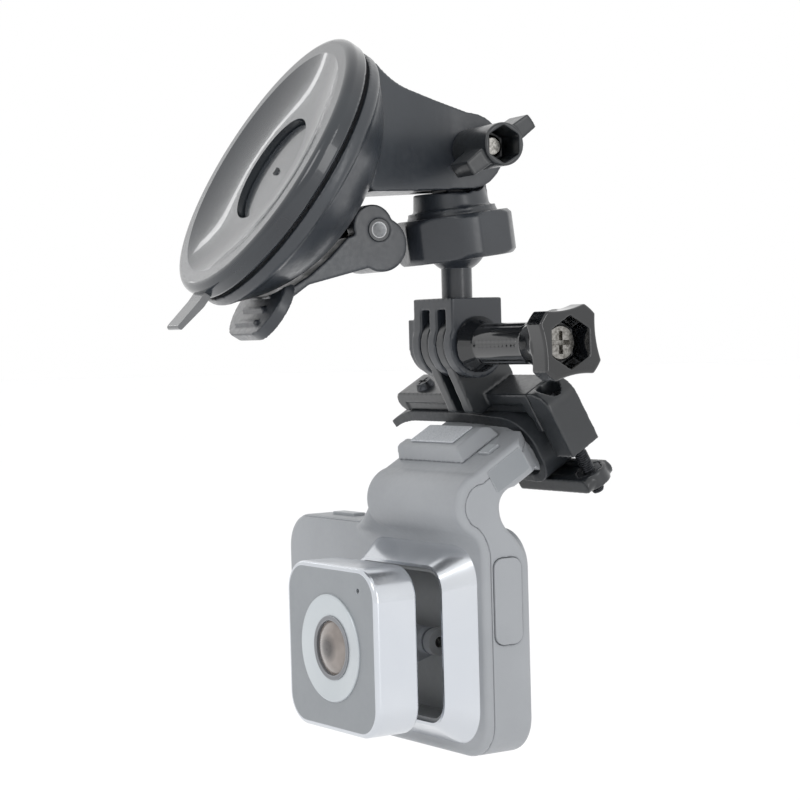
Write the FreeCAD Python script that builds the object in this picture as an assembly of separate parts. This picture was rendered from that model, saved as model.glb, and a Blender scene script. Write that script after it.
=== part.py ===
import FreeCAD, Part
import math
import os

# Dash camera on a suction bracket. Millimetres, +Z up. The origin is the centre of the
# suction face; +Y runs away from the windscreen and the lens looks along -Y.

os.makedirs("parts", exist_ok=True)
V = FreeCAD.Vector
X_AXIS, Y_AXIS, Z_AXIS = V(1, 0, 0), V(0, 1, 0), V(0, 0, 1)

# ---- driving dimensions -------------------------------------------------------------
FIT = 0.05                      # radial clearance of a shaft in its hole
GAP = 0.3                       # clearance between pieces that move past each other

CUP_TILT = 31.5                 # the suction face looks up by this many degrees
PAD_R = 32.0                    # outside radius of the suction pad
PAD_BACK = 5.4                  # depth of the pad's back face behind the suction face
PLUG_R = 12.4                   # disc in the middle of the pad
RIM_R = 31.6                    # radius of the housing's rim
DOME_T = 22.0                   # depth of the housing's flat crown
PIN_T = 29.0                    # depth of the lever's pin
PIN_R, PIN_BORE_R = 2.45, 1.65
ROD_R = 3.2
LEVER_HALF = 6.3                # half the width of the lever's hub
EYE_HALF = 2.1                  # half the thickness of the plunger's eye

ARM_HALF = 8.0                  # half the arm's width at its free end
WING_Y, WING_Z = 46.6, 2.2      # cross bolt at the arm's free end
ARM_END_R = 8.4
TONGUE_HALF = 4.0
BOLT_R = 2.5                    # M5 bolts
WING_HUB = ARM_HALF + 0.4       # inner and outer ends of the wing knob
WING_FACE = 24.4

BALL_Y, BALL_Z = 46.4, -17.3    # centre of the ball
BALL_R = 7.2
SOCKET_LEAN = 7.0               # the socket's axis leans by this many degrees
STUD_R = 3.45
SOCKET_CUP_R = 8.7              # outside of the split cup around the ball
NUT_R = 13.3                    # collar nut over its rounded corners
THREAD_R = 10.2                 # thread on the socket

CAMERA_YAW = 8.6                # the camera is turned by this much on the ball
CAMERA_ORIGIN = V(-4.18, 37.27, -106.7)
CLAMP_TILT = 30.0               # the camera's neck leans back by this many degrees

FORK_X, FORK_Y, FORK_Z = 5.5, 8.4, 66.0     # prong pivot, in the camera's frame
PRONG, PITCH = 3.0, 6.2         # prong thickness and spacing
PRONG_R = 7.5
FORK_TOP = 10.4                 # block top above the pivot
KNOB_BASE = PITCH + PRONG / 2 + GAP         # thumb knob's foot and face, from the middle prong
KNOB_FACE = 41.2
HEAD_R, HEAD_HOLLOW_R = 9.0, 6.9

BODY_L, BODY_R = -58.2, 24.67   # camera body, left and right
BODY_BOT, BODY_TOP = -24.8, 25.1
BODY_D = 12.75                  # camera body, front to back
BODY_CORNER = 8.5
NECK_L = -11.9                  # left side of the neck
# stations of the neck's left flare: X, share of its forward reach, share of its rise
FLARE = ((-10.6, 1.0, 1.0), (-12.6, 1.0, 0.62), (-15.0, 0.93, 0.33), (-18.0, 0.75, 0.16),
         (-22.0, 0.4, 0.06), (-26.5, 0.05, 0.0))
NECK_TOP = 33.6                 # the neck's sloping top face, in the clamp's frame
NECK_END = 51.0
NECK_LOW, NECK_GRIP_LOW = 25.2, 21.2        # underside of the neck, and inside the clamp
SLEEVE_X = 20.5                 # right side of the neck inside the clamp
WALL = 1.6
SEAM_Y, SEAM_Z = 2.2, 31.5      # seam between the shells: behind the front, and up the neck
MODULE = 18.45                  # half the lens module's side
MODULE_FRONT, MODULE_BACK = -24.04, -13.2
BEZEL_OUT, BEZEL_IN, BEZEL_FRONT = 22.2, 17.75, -6.24
AXLE_Y = -1.6                   # the lens module tilts about this line
AXLE_R = 1.2
RECESS = 17.1                   # half the recess behind the lens module
RECESS_FLOOR = 3.2
LENS_RING_R, LENS_BARREL_R = 11.94, 7.1
SCREEN = (-54.5, -10.5, -17.5, 18.5)        # left, right, bottom and top
COVER_Y0, COVER_Y1, COVER_Z0, COVER_Z1 = 2.7, 10.2, 0.2, 19.4
BUTTON_X0, BUTTON_X1 = -44.5, -35.0
PORT_X, PORT_Z = (0.6, 8.4), (25.6, 28.6)   # power inlet, in the clamp's frame
LATCH_X0, LATCH_X1, LATCH_Y0, LATCH_Y1 = 16.9, 20.5, 25.4, 28.8

CLAMP_FRONT, CLAMP_BACK = 37.8, 46.6        # clamp, front and back, in the clamp's frame
PLATE_LOW, PLATE_TOP = 36.3, 41.2
PLATE_LEFT = -24.8
BLOCK_X, BLOCK_RIGHT = 25.0, 31.2           # block that holds the clamp screw
JAW_LOW, JAW_TOP = 15.4, 18.9
SCREW_X, SCREW_Y = 27.9, 42.2   # clamp screw's axis, in the clamp's frame
SCREW_R = 1.5                   # M3
SCREW_TIP, SCREW_HEAD = 13.4, 38.2
PLATE_SCREW = (-17.6, 41.0)

# ---- frames -------------------------------------------------------------------------
ROW = FreeCAD.Placement()
# +Z runs from the suction face into the housing, -Y points up the face
CUP = FreeCAD.Placement(V(0, 0, 0), FreeCAD.Rotation(X_AXIS, -90.0 - CUP_TILT))
# centred on the ball, +Z up the socket
SOCKET = FreeCAD.Placement(V(0, BALL_Y, BALL_Z), FreeCAD.Rotation(X_AXIS, SOCKET_LEAN))
STUD = FreeCAD.Placement(V(0, BALL_Y, BALL_Z), FreeCAD.Rotation(Z_AXIS, CAMERA_YAW))
# centred on the lens module, at the body's front face
CAMERA = FreeCAD.Placement(CAMERA_ORIGIN, FreeCAD.Rotation(Z_AXIS, CAMERA_YAW))
# the same origin, with +Y up the sloping neck and +Z out of its top face
CLAMP = CAMERA.multiply(FreeCAD.Placement(V(0, 0, 0), FreeCAD.Rotation(X_AXIS, CLAMP_TILT)))
FORK = CAMERA.multiply(FreeCAD.Placement(V(FORK_X, FORK_Y, FORK_Z), FreeCAD.Rotation()))


# ---- helpers ------------------------------------------------------------------------
def save(node, shape, frame=ROW):
    """Write one sub-part, moved from its own frame into the object's."""
    placed = shape.copy()
    placed.transformShape(frame.toMatrix(), True)
    if not placed.isValid():
        raise ValueError(node + " is not a valid solid")
    placed.exportStep("parts/" + node + ".step")
    print(node, len(placed.Solids), round(placed.Volume, 1))


def wire(points, place):
    """Closed outline. A point is (a, b), or ((mid a, b), (end a, b)) for an arc to end."""
    edges = []
    ends = [p[1] if isinstance(p[0], tuple) else p for p in points]
    for i, point in enumerate(points):
        start, end = place(*ends[i - 1]), place(*ends[i])
        if isinstance(point[0], tuple):
            edges.append(Part.Arc(start, place(*point[0]), end).toShape())
        elif start.distanceToPoint(end) > 1e-6:
            edges.append(Part.LineSegment(start, end).toShape())
    return Part.Wire(edges)


def along_x(points, x0, x1):
    """Prism along X on an outline of (y, z) points."""
    return Part.Face(wire(points, lambda y, z: V(x0, y, z))).extrude(V(x1 - x0, 0, 0))


def along_y(points, y0, y1):
    """Prism along Y on an outline of (x, z) points."""
    return Part.Face(wire(points, lambda x, z: V(x, y0, z))).extrude(V(0, y1 - y0, 0))


def along_z(points, z0, z1):
    """Prism along Z on an outline of (x, y) points."""
    return Part.Face(wire(points, lambda x, y: V(x, y, z0))).extrude(V(0, 0, z1 - z0))


def turned(points):
    """Solid of revolution about Z on an outline of (radius, z) points."""
    return Part.Face(wire(points, lambda r, z: V(r, 0, z))).revolve(V(0, 0, 0), Z_AXIS, 360)


def rounded(x0, x1, z0, z1, r):
    """Outline of a rectangle with rounded corners."""
    k = r * (1 - math.sqrt(0.5))
    return [(x1 - r, z0), ((x1 - k, z0 + k), (x1, z0 + r)),
            (x1, z1 - r), ((x1 - k, z1 - k), (x1 - r, z1)),
            (x0 + r, z1), ((x0 + k, z1 - k), (x0, z1 - r)),
            (x0, z0 + r), ((x0 + k, z0 + k), (x0 + r, z0))]


def polar(r, degrees):
    """Point at radius r and this angle."""
    return r * math.cos(math.radians(degrees)), r * math.sin(math.radians(degrees))


def polygon(sides, r, turn=0.0):
    """Regular polygon with corners at radius r."""
    return [polar(r, turn + 360.0 / sides * i) for i in range(sides)]


def rod(axis, r, a, b, at=(0, 0)):
    """Cylinder along X, Y or Z from a to b, through the other two coordinates at."""
    if axis == "x":
        return Part.makeCylinder(r, b - a, V(a, at[0], at[1]), X_AXIS)
    if axis == "y":
        return Part.makeCylinder(r, b - a, V(at[0], a, at[1]), Y_AXIS)
    return Part.makeCylinder(r, b - a, V(at[0], at[1], a), Z_AXIS)


def box(x0, x1, y0, y1, z0, z1):
    return Part.makeBox(x1 - x0, y1 - y0, z1 - z0, V(x0, y0, z0))


def fillet(shape, r, chosen):
    """Round the edges that chosen(edge) picks."""
    return shape.makeFillet(r, [e for e in shape.Edges if chosen(e)])


def hex_nut_x(across_flats, x0, x1, y, z, bore):
    """Hexagon nut with its axis along X."""
    corners = [(y + a, z + b) for a, b in polygon(6, across_flats / math.sqrt(3), 30)]
    return along_x(corners, x0, x1).cut(rod("x", bore, x0 - 1, x1 + 1, (y, z)))


# ---- suction cup --------------------------------------------------------------------
def suction_pad():
    """Dished soft pad with a flat sealing land, a lip and a pull tab at the bottom."""
    ring = turned([(PLUG_R + 0.2, 2.7), ((20.5, 1.9), (27.6, 0)), (30.2, 0),
                   ((31.5, 0.6), (PAD_R, 2)), (PAD_R, 3.7), ((31.7, 4.3), (31, 4.5)),
                   (29.6, 4.5), (29.6, PAD_BACK), (PLUG_R + 0.2, PAD_BACK)])
    side = [(30.4, 2.1), (34, 1.7), (40.6, 0.3), ((41.3, 0.6), (41.2, 1.4)), (34.6, 3.3), (30.4, 3.7)]
    tab = along_x(side, -3.6, 3.6)
    return ring.fuse(tab).removeSplitter()


def pad_plug():
    """Disc that the plunger draws back to make the vacuum, with a moulding nub."""
    disc = turned([(0, 4.1), (PLUG_R - 0.8, 4.3), ((PLUG_R - 0.2, 4.5), (PLUG_R, 5.0)),
                   (PLUG_R, 6.2), (0, 6.2)])
    nub = Part.makeCone(0.7, 1.1, 0.9, V(0, 0, 3.5), Z_AXIS)
    return disc.fuse(nub).removeSplitter()


def plunger_rod():
    """Flanged rod that ends in a flat eye around the lever's pin."""
    flange = rod("z", 8.5, 6.2, 7.8)
    shank = rod("z", ROD_R, 7.8, PIN_T - 8)
    flat = rod("z", ROD_R, PIN_T - 8, PIN_T).common(box(-EYE_HALF, EYE_HALF, -5, 5, PIN_T - 8, PIN_T))
    eye = rod("x", 4.3, -EYE_HALF, EYE_HALF, (0, PIN_T))
    return flange.fuse([shank, flat, eye]).cut(rod("x", PIN_R + FIT, -5, 5, (0, PIN_T))).removeSplitter()


def plunger_spring():
    """Compressed coil around the plunger that pushes the disc forward on release."""
    helix = Part.makeHelix(1.9, 4.6, 4.9)
    section = Part.Wire(Part.Circle(V(4.9, 0, 0), Y_AXIS, 0.5).toShape())
    coil = Part.Wire(helix).makePipeShell([section], True, True)
    coil.translate(V(0, 0, 8.6))
    return coil


def arm_block():
    """Arm behind the dome: a side outline and a plan outline cut from each other."""
    side = along_x([(22.6, 20.4), ((26.6, 17.4), (32.8, 14.9)), (WING_Y, WING_Z + ARM_END_R),
                    ((WING_Y + ARM_END_R, WING_Z), (WING_Y, WING_Z - ARM_END_R)),
                    (21, -7.2), (10, 4)], -16, 16)
    plan = along_z([(-14, 8), (14, 8), (13, 20), ((9.6, 30), (ARM_HALF, 42)), (ARM_HALF, 60),
                    (-ARM_HALF, 60), (-ARM_HALF, 42), ((-9.6, 30), (-13, 20))], -20, 30)
    return side.common(plan)


def cup_housing():
    """Hard shell over the pad: rim, dome, guide for the plunger and the forked arm."""
    cover = turned([(0, PAD_BACK), (RIM_R, PAD_BACK), (RIM_R, 7.4), ((31.2, 8.2), (30.3, 8.8)),
                    ((23, 15.6), (12.5, 20.5)), (6.6, DOME_T), (0, DOME_T)])
    cover.transformShape(CUP.toMatrix(), True)
    hollow = turned([(0, PAD_BACK - 1), (28.9, PAD_BACK - 1), (28.9, 7.8), ((21.4, 14.2), (11.6, 18.3)),
                     (6, 18.8), (6, 14.5), (0, 14.5)])
    bore = rod("z", ROD_R + FIT, 5, 40).fuse(rod("z", 5.2, DOME_T - 2.4, 40))
    bore = bore.common(rod("z", 6, 0, DOME_T + 0.4))
    inside = hollow.fuse(bore)
    inside.transformShape(CUP.toMatrix(), True)
    shell = cover.fuse(arm_block())
    shell = shell.cut(lever_sweep())
    shell = shell.cut(inside)
    slot = box(-TONGUE_HALF - 0.1, TONGUE_HALF + 0.1, WING_Y - 9.5, 60, -10, WING_Z + 5.6)
    shell = shell.cut(slot)
    shell = shell.cut(rod("x", BOLT_R + 0.1, -20, 20, (WING_Y, WING_Z)))
    corners = [(WING_Y + a, WING_Z + b) for a, b in polygon(6, 4.75, 30)]
    shell = shell.cut(along_x(corners, -ARM_HALF - 1, -ARM_HALF + 3.2))
    return shell.removeSplitter()


def lever_sweep():
    """Room under the arm for the lever's hub, from the crown backwards."""
    room = box(-LEVER_HALF - GAP, LEVER_HALF + GAP, -9, 14, DOME_T, PIN_T + 12)
    room.transformShape(CUP.toMatrix(), True)
    return room.common(box(-20, 20, 0, 60, -40, -7.2))


def lock_lever():
    """Cam lever: split hub on the pin, blade along the dome and a ridged thumb paddle."""
    cam = rod("x", 4.7, -LEVER_HALF, LEVER_HALF, (0, PIN_T - 1.6))
    barrel = rod("x", 6.0, -LEVER_HALF, LEVER_HALF, (2.4, PIN_T + 2.2))
    blade = along_x([(2.5, PIN_T + 8), (18.8, 20.8), (26.4, 17.4), (26.2, 15.0), (21.4, 17.6), (17, 19.9),
                     (11.5, 21.9), (5.4, 23.4), (-1, PIN_T)], -LEVER_HALF, LEVER_HALF)
    paddle = along_z(rounded(-12.4, 12.4, 20.5, 34.8, 7.1), 14.6, 17.3)
    dome_room = turned([(0, 0), (RIM_R + GAP, 0), (RIM_R + GAP, 7.6), ((31.4, 8.7), (30.6, 9.3)),
                        ((23.4, 16.1), (12.7, 21.1)), (6.6, DOME_T + 0.5), (0, DOME_T + 0.5)])
    ridges = [box(-6, 6, y, y + 1.1, 13.9, 15) for y in (24.6, 28.0, 31.4)]
    solid = cam.fuse([barrel, blade, paddle] + ridges)
    solid = solid.cut(dome_room)
    solid = solid.cut(rod("x", 7.7, -EYE_HALF - 0.2, EYE_HALF + 0.2, (0, PIN_T)))
    return solid.cut(rod("x", PIN_R, -20, 20, (0, PIN_T))).removeSplitter()


def lever_pin():
    """Hollow pin, open from side to side."""
    return rod("x", PIN_R, -LEVER_HALF, LEVER_HALF, (0, PIN_T)).cut(
        rod("x", PIN_BORE_R, -20, 20, (0, PIN_T)))


# ---- cross bolt of the arm ----------------------------------------------------------
def wing_knob():
    """Round hub with two short square-ended wings and a hexagon socket in its end."""
    hub = rod("x", 4.7, WING_HUB, WING_FACE)
    hub = fillet(hub, 0.4, lambda e: e.BoundBox.XMin > WING_FACE - 0.1)
    wings = []
    for side in (35, 215):
        wing = along_x([(3.5, -2.0), (9.2, -1.7), ((9.35, 0), (9.2, 1.7)), (3.5, 2.0)],
                       WING_HUB + 6.2, WING_FACE - 1.4)
        wing.rotate(V(0, 0, 0), X_AXIS, side)
        wings.append(wing)
    knob = hub.fuse(wings)
    knob = knob.cut(along_x(polygon(6, 4.1, 30), WING_FACE - 8, WING_FACE + 1))
    knob = knob.cut(rod("x", BOLT_R, WING_HUB - 1, WING_FACE))
    knob.translate(V(0, WING_Y, WING_Z))
    return knob.removeSplitter()


def wing_bolt():
    """Bolt that the wing knob turns; its domed end shows in the knob's socket."""
    shank = rod("x", BOLT_R, -ARM_HALF + 0.6, WING_FACE - 6.4)
    end = Part.makeCone(BOLT_R, BOLT_R - 0.7, 0.7, V(WING_FACE - 6.4, 0, 0), X_AXIS)
    bolt = shank.fuse(end)
    bolt.translate(V(0, WING_Y, WING_Z))
    return bolt.removeSplitter()


def arm_nut():
    """Nut held in a six-sided pocket on the arm's far side."""
    return hex_nut_x(8.0, -ARM_HALF - 0.4, -ARM_HALF + 3.2, WING_Y, WING_Z, BOLT_R + FIT)


# ---- ball head ----------------------------------------------------------------------
def wing_in_socket():
    """The cross bolt's (y, z) in the socket's frame."""
    point = SOCKET.inverse().multVec(V(0, WING_Y, WING_Z))
    return point.y, point.z


def socket_stem():
    """Tongue in the arm's fork, tapered neck, flange and threaded socket."""
    y, z = wing_in_socket()
    neck = Part.makeCone(8.7, 7.7, 7.5, V(0, 0, 6.9), Z_AXIS)
    flange = rod("z", 9.9, 6.0, 7.1)
    thread = rod("z", THREAD_R, -1.2, 6.0)
    grooves = [Part.makeTorus(THREAD_R + 0.1, 0.45, V(0, 0, 4.9 - 1.4 * i), Z_AXIS) for i in range(4)]
    stem = neck.fuse([flange, thread])
    for groove in grooves:
        stem = stem.cut(groove)
    stem = stem.cut(rod("x", ARM_END_R + 0.5, -20, 20, (y, z)))
    under_arm = box(-20, 20, WING_Y - 20, WING_Y, WING_Z - ARM_END_R - 3 * GAP, 20)
    under_arm.transformShape(SOCKET.inverse().toMatrix(), True)
    stem = stem.cut(under_arm)
    tongue = rod("x", 5.2, -TONGUE_HALF, TONGUE_HALF, (y, z))
    web = along_x([(y - 5, z), (y - 5, 7.5), (y + 5, 7.5), (y + 5, z)], -TONGUE_HALF, TONGUE_HALF)
    stem = stem.fuse([tongue, web])
    stem = stem.cut(rod("x", BOLT_R + 0.1, -20, 20, (y, z)))
    stem = stem.cut(Part.makeSphere(SOCKET_CUP_R + FIT, V(0, 0, 0)))
    return stem.removeSplitter()


def collar_nut():
    """Six-sided collar that squeezes the socket on the ball."""
    outside = along_z(polygon(6, 14.4, 50), -4.3, 5.7).common(
        turned([(0, -4.3), (NUT_R - 0.9, -4.3), (NUT_R, -3.4), (NUT_R, 4.8), (NUT_R - 0.9, 5.7), (0, 5.7)]))
    bore = rod("z", THREAD_R + 0.1, -1.5, 6)
    throat = Part.makeSphere(BALL_R + 0.1, V(0, 0, 0))
    mouth = Part.makeCone(8.2, 5.9, 1.0, V(0, 0, -4.9), Z_AXIS)
    return outside.cut(bore).cut(throat).cut(mouth).cut(rod("z", 6.1, -5, 0)).removeSplitter()


def ball_cup():
    """Split cup between the ball and the socket."""
    shell = Part.makeSphere(SOCKET_CUP_R, V(0, 0, 0)).cut(Part.makeSphere(BALL_R + FIT, V(0, 0, 0)))
    return shell.common(rod("z", 20, 0.4, 20)).cut(rod("z", 2.5, 0, 20)).removeSplitter()


def ball_stud():
    """Ball on a round stem that goes down into the prong block."""
    ball = Part.makeSphere(BALL_R, V(0, 0, 0))
    flat = rod("z", 20, BALL_R - 0.6, BALL_R + 1)
    stem_end = FORK_Z + FORK_TOP + CAMERA_ORIGIN.z - BALL_Z
    stem = rod("z", STUD_R, stem_end - 2.2, 0)
    return ball.cut(flat).fuse(stem).removeSplitter()


def prong_block():
    """Three-prong block with a nut boss on its left prong."""
    half = PITCH + PRONG / 2
    depth = 6.8
    bottom = rod("x", PRONG_R, -half, half)
    block = along_x([(-depth, FORK_TOP), (-depth, -2), (depth, -2), (depth, FORK_TOP)], -half, half)
    block = block.fuse(bottom)
    for gap in (-PITCH / 2, PITCH / 2):
        width = (PITCH - PRONG) / 2 + 0.05
        block = block.cut(box(gap - width, gap + width, -12, 12, -12, FORK_TOP - 2.6))
    boss = along_x([(-6.7, 5.8), (-6.7, 0), ((0, -6.7), (6.7, 0)), (6.7, 5.8)], -half - 2.4, -half)
    block = block.fuse(boss)
    block = block.cut(rod("x", BOLT_R + FIT, -20, 20))
    block = block.cut(along_x(polygon(6, 4.75, 30), -half - 3, -half + 0.6))
    block = block.cut(rod("z", STUD_R + FIT, FORK_TOP - 2.4, 20))
    return block.removeSplitter()


def prong_nut():
    """Nut in the left boss."""
    half = PITCH + PRONG / 2
    return hex_nut_x(8.0, -half - 2.3, -half + 0.6, 0, 0, BOLT_R + FIT)


# ---- thumbscrew ---------------------------------------------------------------------
def star(r_out, r_in, lobes, turn):
    """Outline of a knob with square-ended lobes and hollow flanks between them."""
    points = []
    step = 360.0 / lobes
    spread = 11.0
    for i in range(lobes):
        middle = turn + step * i
        points.append(polar(r_out, middle - spread))
        points.append((polar(r_out * 0.995, middle), polar(r_out, middle + spread)))
        points.append((polar(r_in, middle + step / 2), polar(r_out, middle + step - spread)))
    return points[1:]


def thumb_knob():
    """Fluted shaft with a flared foot and a lobed head that has a hexagon socket."""
    foot = Part.makeCone(6.4, 4.7, 3.4, V(KNOB_BASE, 0, 0), X_AXIS)
    shaft = rod("x", 4.6, KNOB_BASE, KNOB_FACE - 11)
    for i in range(6):
        shaft = shaft.cut(rod("x", 0.9, KNOB_BASE + 4.2, KNOB_FACE - 13.5, polar(5.2, 60 * i)))
    flare = Part.makeCone(4.7, 7.2, 7.4, V(KNOB_FACE - 12.2, 0, 0), X_AXIS)
    head = along_x(star(HEAD_R, HEAD_HOLLOW_R, 4, 53), KNOB_FACE - 5.2, KNOB_FACE)
    head = fillet(head, 0.5, lambda e: e.BoundBox.XLength < 0.001)
    knob = foot.fuse([shaft, flare, head])
    knob = knob.cut(along_x(polygon(6, 5.7, 30), KNOB_FACE - 6, KNOB_FACE + 1))
    return knob.cut(rod("x", BOLT_R, 0, KNOB_FACE)).removeSplitter()


def thumb_bolt():
    """Steel bolt through the knob and the prongs; its pan head sits in the socket."""
    left = -PITCH - PRONG / 2 - 1.6
    shank = rod("x", BOLT_R, left, KNOB_FACE - 6)
    head = Part.makeCone(4.0, 3.5, 2.4, V(KNOB_FACE - 6, 0, 0), X_AXIS)
    cross = box(KNOB_FACE - 4.8, KNOB_FACE, -0.5, 0.5, -2.4, 2.4).fuse(
        box(KNOB_FACE - 4.8, KNOB_FACE, -2.4, 2.4, -0.5, 0.5))
    return shank.fuse(head).cut(cross).removeSplitter()


# ---- clamp --------------------------------------------------------------------------
def clamp_frame():
    """Top plate with a rounded left end, turned down at the right to meet the block."""
    half = (PLATE_TOP - PLATE_LOW) / 2
    outline = [(PLATE_LEFT, PLATE_LOW), (21.0, PLATE_LOW), ((22.6, 35.8), (23.4, 34.2)), (23.4, 31.6),
               (BLOCK_X, 31.6), (BLOCK_X, PLATE_TOP), (PLATE_LEFT, PLATE_TOP),
               ((PLATE_LEFT - half, PLATE_LOW + half), (PLATE_LEFT, PLATE_LOW))]
    frame = along_y(outline, CLAMP_FRONT, CLAMP_BACK)
    step = box(-24, 22.5, CLAMP_FRONT - 1, CLAMP_FRONT + 0.4, PLATE_LOW - 1, PLATE_LOW + 2.3)
    frame = frame.cut(step)
    frame = frame.cut(rod("z", 0.8, PLATE_TOP - 3.5, 60, PLATE_SCREW))
    return frame.fuse(clamp_lugs()).removeSplitter()


def lug_pivot():
    """The prong pivot's (y, z) in the clamp's frame."""
    point = CLAMP.inverse().multVec(FORK.multVec(V(0, 0, 0)))
    return point.y, point.z


def clamp_lugs():
    """Two prongs on the plate that stand between the block's three."""
    py, pz = lug_pivot()
    reach = PRONG_R - 0.2
    outline = [(py - 7.6, PLATE_LOW + 3.4), (py - 5.4, PLATE_LOW + 1.6), (py - 0.4, PLATE_LOW + 1.6),
               (CLAMP_BACK + 0.6, PLATE_TOP - 0.2), (CLAMP_BACK + 0.6, PLATE_TOP + 1.4),
               (py + reach * 0.94, pz - 2.4), ((py + 0.5, pz + reach), (py - reach * 0.94, pz - 2.4))]
    lugs = []
    for x in (FORK_X - PITCH / 2, FORK_X + PITCH / 2):
        lug = along_x(outline, x - PRONG / 2, x + PRONG / 2)
        lugs.append(lug.cut(rod("x", BOLT_R + FIT, -50, 50, (py, pz))))
    return lugs


def plate_screw():
    """Small cross-head screw at the plate's left end."""
    x, y = PLATE_SCREW
    head = Part.makeCone(2.3, 1.9, 1.5, V(x, y, PLATE_TOP), Z_AXIS)
    for across, along in ((1.5, 0.3), (0.3, 1.5)):
        head = head.cut(box(x - across, x + across, y - along, y + along, PLATE_TOP + 0.9, PLATE_TOP + 2))
    return head.fuse(rod("z", 0.8, PLATE_TOP - 3.5, PLATE_TOP, PLATE_SCREW)).removeSplitter()


def clamp_block():
    """Right-hand block with the clamp screw's hole and its sunk head."""
    outline = [(BLOCK_X, 24.9), (BLOCK_RIGHT, 24.9), (BLOCK_RIGHT, 36.4),
               ((30.0, 39.6), (26.8, PLATE_TOP)), (BLOCK_X, PLATE_TOP)]
    block = along_y(outline, CLAMP_FRONT + 0.2, CLAMP_BACK - 0.2)
    block = block.cut(rod("z", SCREW_R + FIT, 20, 60, (SCREW_X, SCREW_Y)))
    block = block.cut(rod("z", 2.55, SCREW_HEAD - 2.9, 60, (SCREW_X, SCREW_Y)))
    return block.removeSplitter()


def clamp_screw():
    """Socket-head screw that draws the lower jaw up."""
    head = rod("z", 2.45, SCREW_HEAD - 2.8, SCREW_HEAD, (SCREW_X, SCREW_Y))
    shank = rod("z", SCREW_R, SCREW_TIP, SCREW_HEAD - 2.8, (SCREW_X, SCREW_Y))
    corners = [(SCREW_X + a, SCREW_Y + b) for a, b in polygon(6, 1.4)]
    key = along_z(corners, SCREW_HEAD - 1.5, SCREW_HEAD + 1)
    return head.fuse(shank).cut(key).removeSplitter()


def clamp_liner():
    """Soft strap between the clamp and the neck, with a flared tongue at the left."""
    outside = [(-33.8, 33.4), ((-28.5, 35.3), (-23.5, PLATE_LOW)), (14.2, PLATE_LOW),
               ((20.4, 33.6), (22.4, 27)), (22.4, 25), ((20.7, 20.9), (16.6, 19.1)), (7.6, 19.1)]
    inside = [((6.7, 20.1), (7.6, NECK_GRIP_LOW)), (16.5, NECK_GRIP_LOW), ((19.33, 22.37), (SLEEVE_X, 25.2)),
              (SLEEVE_X, 27.0), ((18.57, 31.67), (13.9, NECK_TOP)), (-22, NECK_TOP),
              ((-28, 33.1), (-33.4, 31.5))]
    strap = along_y(outside + inside, 34, 48)
    front = along_z([(-40, 30), (40, 30), (40, 35.9), (16, 35.9), (-2, 37.4), (-40, 37.4)], 10, 45)
    return strap.cut(front).removeSplitter()


def lower_jaw():
    """Lower jaw under the neck: two ribs, a floor between them and a lug for the nut."""
    def rib(y0, y1, right):
        return along_y([(5.5, JAW_LOW), (right - 1.75, JAW_LOW),
                        ((right, JAW_LOW + 1.75), (right - 1.75, JAW_TOP)), (5.5, JAW_TOP)], y0, y1)

    floor = box(5.5, 29, CLAMP_FRONT + 0.4, CLAMP_BACK - 0.2, JAW_LOW + 0.4, JAW_TOP - 1.0)
    jaw = rib(CLAMP_FRONT, CLAMP_FRONT + 2.3, 31.4).fuse([floor, rib(CLAMP_BACK - 1.8, CLAMP_BACK, 30.4)])
    jaw = jaw.fuse(rod("z", 3.9, JAW_LOW, JAW_TOP, (SCREW_X, SCREW_Y)))
    jaw = jaw.cut(rod("z", SCREW_R + 0.2, 10, 30, (SCREW_X, SCREW_Y)))
    corners = [(SCREW_X + a, SCREW_Y + b) for a, b in polygon(6, 3.2, 30)]
    return jaw.cut(along_z(corners, JAW_TOP - 2.3, JAW_TOP + 1)).removeSplitter()


def jaw_nut():
    """Nut sunk in the lower jaw."""
    nut = along_z([(SCREW_X + a, SCREW_Y + b) for a, b in polygon(6, 3.18, 30)], JAW_TOP - 2.3, JAW_TOP)
    return nut.cut(rod("z", SCREW_R + FIT, 0, 30, (SCREW_X, SCREW_Y)))


# ---- camera housing -----------------------------------------------------------------
def neck_point(y, z):
    """(y, z) in the camera's frame of a point given along and out of the neck's top."""
    c, s = math.cos(math.radians(CLAMP_TILT)), math.sin(math.radians(CLAMP_TILT))
    return y * c - z * s, y * s + z * c


def neck_outline():
    """Side outline of the neck: forward over the body's top, then back at its slope."""
    front = [(0, 8), (0, 19.842), ((-0.805, 22.825), (-3.0, 25.0)), ((-6.6, 31.2), (-1.2, 38.1))]
    end = [neck_point(NECK_END - 2.5, NECK_TOP),
           (neck_point(NECK_END - 0.7, 32.9), neck_point(NECK_END, 31.1)),
           neck_point(NECK_END, 23.2), neck_point(NECK_END - 2, NECK_GRIP_LOW)]
    back = [neck_point(37.5, NECK_GRIP_LOW), neck_point(33.4, NECK_LOW),
            neck_point(25.5, NECK_LOW), ((5.8, 32.4), (5.3, 29.4)),
            ((6.1, 26.9), (7.7, 25.0)), ((11.3, 20.4), (BODY_D, 15)), (BODY_D, 8)]
    return front + end + back


def body_slab(inset=0.0):
    """Rounded flat block of the body."""
    outline = rounded(BODY_L + inset, BODY_R - inset, BODY_BOT + inset, BODY_TOP - inset,
                      BODY_CORNER - inset)
    slab = along_y(outline, inset, BODY_D - inset)
    if inset:
        return slab
    return fillet(slab, 1.3, lambda e: e.BoundBox.YLength < 0.001)


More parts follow.
